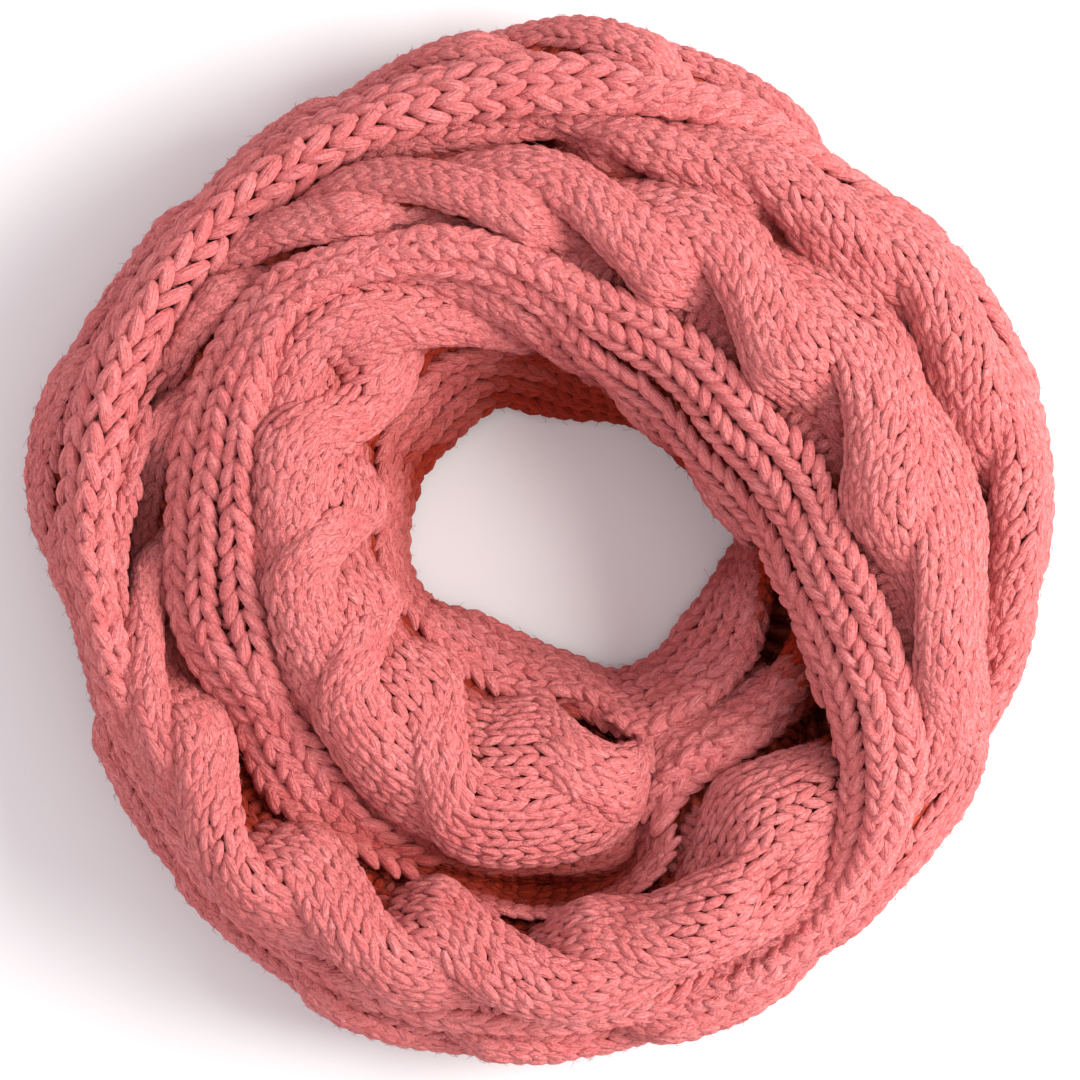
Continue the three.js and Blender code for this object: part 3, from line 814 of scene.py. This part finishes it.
def knit_ground():
    """The knitting's own ground, seen in creases: small staggered purl bumps, their dark red a
    painted shade.
    """
    tufts, tuft_height = 700.0, 0.8  # to a metre: tufts of 1.4 mm, lower than the purls
    material, tree, shader = matt_material("chunky purl knit ground in shade", 0.95, 0.1)
    uv = node(tree, "ShaderNodeUVMap", uv_map="knit")
    split = node(tree, "ShaderNodeSeparateXYZ", {"Vector": uv.outputs["UV"]})
    waves = []
    for axis, pitch in (("X", 2 * STITCH_WIDTH), ("Y", 2 * PURL_ROW)):
        angle = node(tree, "ShaderNodeMath", {0: split.outputs[axis]}, {1: 2 * math.pi / pitch},
                     operation="MULTIPLY")
        waves.append(node(tree, "ShaderNodeMath", {0: angle.outputs[0]}, operation="SINE"))
    purls = node(tree, "ShaderNodeMath", {0: waves[0].outputs[0], 1: waves[1].outputs[0]},
                 operation="MULTIPLY")
    place = node(tree, "ShaderNodeTexCoord")
    fibres = node(tree, "ShaderNodeTexNoise", {"Vector": place.outputs["Object"]},
                  {"Scale": tufts, "Detail": 3.0})
    heights = node(tree, "ShaderNodeMath", {0: fibres.outputs["Fac"], 2: purls.outputs[0]},
                   {1: tuft_height}, operation="MULTIPLY_ADD")
    bump = node(tree, "ShaderNodeBump", {"Height": heights.outputs[0]},
                {"Strength": 1.0, "Distance": 1.5 * MM})
    tree.links.new(bump.outputs["Normal"], shader.inputs["Normal"])
    # painted shade: dark red throughout, darker where the purl bumps and tufts lie low
    wool = node(tree, "ShaderNodeValToRGB", {"Fac": heights.outputs[0]},
                stops=[(0, "#6f2418"), (1, "#b4503f")])
    tree.links.new(wool.outputs["Color"], shader.inputs["Base Color"])
    return material


def paper_backdrop():
    """Uncoated paper: a plain, pale surface without a highlight."""
    material, _, shader = matt_material("pale paper backdrop", 0.9)
    shader.inputs["Base Color"].default_value = linear("#e2eff6")
    return material


# ---------------------------------------------------------------- the scarf


def dress(name, extent):
    """The yarn of one stretch and its loose fibres: names, shapes, points and shares of painted
    shade.
    """
    yarn, loose = [], []
    for kind, legs in LEGS.items():
        leg, lean, sag = KINDS[kind]
        own = some(legs, in_stretch(legs, *extent))
        count = len(own["turn"])
        if count:
            yarn.append((f"{name}_{kind}", leg, placed(leg, own, lean, sag), shade_share(own)))
        if count and kind != "purls":  # they lie too deep for a loose fibre to show
            own = some(own, draw.random(count) < FUZZY)
            points = fuzz(own, leg["thickness"])
            loose.append((f"{name}_{kind}_fuzz", HAIR, points, shade_share(own)))
    return yarn, loose


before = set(bpy.data.objects)
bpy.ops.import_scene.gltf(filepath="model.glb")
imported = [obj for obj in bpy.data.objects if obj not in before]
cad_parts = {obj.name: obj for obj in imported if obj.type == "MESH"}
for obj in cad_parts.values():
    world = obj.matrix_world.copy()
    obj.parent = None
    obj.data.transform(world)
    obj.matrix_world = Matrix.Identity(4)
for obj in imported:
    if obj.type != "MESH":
        bpy.data.objects.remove(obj)
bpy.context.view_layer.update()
WOOL = wool_yarn()
# the knitting's ground, dark red as painted shade
GROUND = knit_ground()

STITCH = leg_shape(5, 5, 10.6, 4.0, 2.9)
RIB_STITCH = leg_shape(6, 6, 15.2, 5.5, 4.4)
HEM_STITCH = leg_shape(6, 6, 14.6, 4.7, 4.6)
PURL = leg_shape(5, 4, 9.0, 4.4, 3.4)
HAIR = leg_shape(3, 3, 4.6, 0.17, 0.17)
# Each kind of stitch: its leg, how many degrees that leans and how far its ends sag
KINDS = {
    "big_cable": (STITCH, 15, 0.8),
    "small_cable": (STITCH, 15, 0.8),
    "ribs": (RIB_STITCH, 22, 1.9),
    "hem_ribs": (HEM_STITCH, 19, 1.9),
    "plain_knit": (STITCH, 15, 0.8),
    "purls": (PURL, 86, 1.2),
}
LEGS = all_legs()
draw = np.random.default_rng(7)  # the one source of every stray

all_yarn, all_loose, shells = [], [], {}
for name, extent in STRETCHES.items():
    shells[name] = cloth_shell(name + "_cloth", *extent)
    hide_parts(name)
    yarn, loose = dress(name, extent)
    all_yarn += yarn
    all_loose += loose

# each stitch's depth below the knitting round it, which paints shade into its colour
surfaces = [knit_surface([points for _, _, points, _ in all_yarn], reach) for reach, _ in SHADES]
for name, leg, points, share in all_yarn + all_loose:
    depth = depth_below(surfaces, points) * share
    joined(name, leg, points, {"tone": draw.random(len(points)), "depth": depth})

hidden_layers()


# ---------------------------------------------------------------- studio


def floor():
    """The paper that the scarf lies on, 8 m across."""
    bm = bmesh.new()
    bmesh.ops.create_grid(bm, x_segments=1, y_segments=1, size=4)
    mesh = mesh_from("floor", bm)
    mesh.materials.append(paper_backdrop())
    new_object("floor", mesh)


def soft_light(name, place, size, watts, colour):
    """A square soft light that looks at the scarf, its place and size in metres."""
    data = bpy.data.lights.new(name, "AREA")
    data.size, data.energy, data.color = size, watts, linear(colour)[:3]
    lamp = new_object(name, data)
    lamp.location = place
    lamp.rotation_euler = (-lamp.location).to_track_quat("-Z", "Y").to_euler()


def air(colour, strength):
    """The even light from all round."""
    world = bpy.data.worlds.new("studio air")
    world.use_nodes = True
    background = world.node_tree.nodes["Background"]
    background.inputs["Color"].default_value = linear(colour)
    background.inputs["Strength"].default_value = strength
    bpy.context.scene.world = world


def camera():
    """Straight above the ring, a little to the front of its axis."""
    data = bpy.data.cameras.new("camera")
    data.sensor_width, data.lens = 36, 140.3
    data.clip_end = 20
    eye = new_object("camera", data)
    front, up = 0.7, 1500
    eye.location = (RING_AXIS[0] * MM, (RING_AXIS[1] - front) * MM, up * MM)
    bpy.context.scene.camera = eye


floor()
soft_light("key", (1.45, 0.05, 1.1), 1.0, 53, "#fff2e8")
soft_light("fill", (-1.3, -0.3, 1.3), 1.6, 2, "#dcdcff")
air("#ffe9e4", 0.95)
camera()
bpy.context.scene.view_settings.view_transform = "Standard"
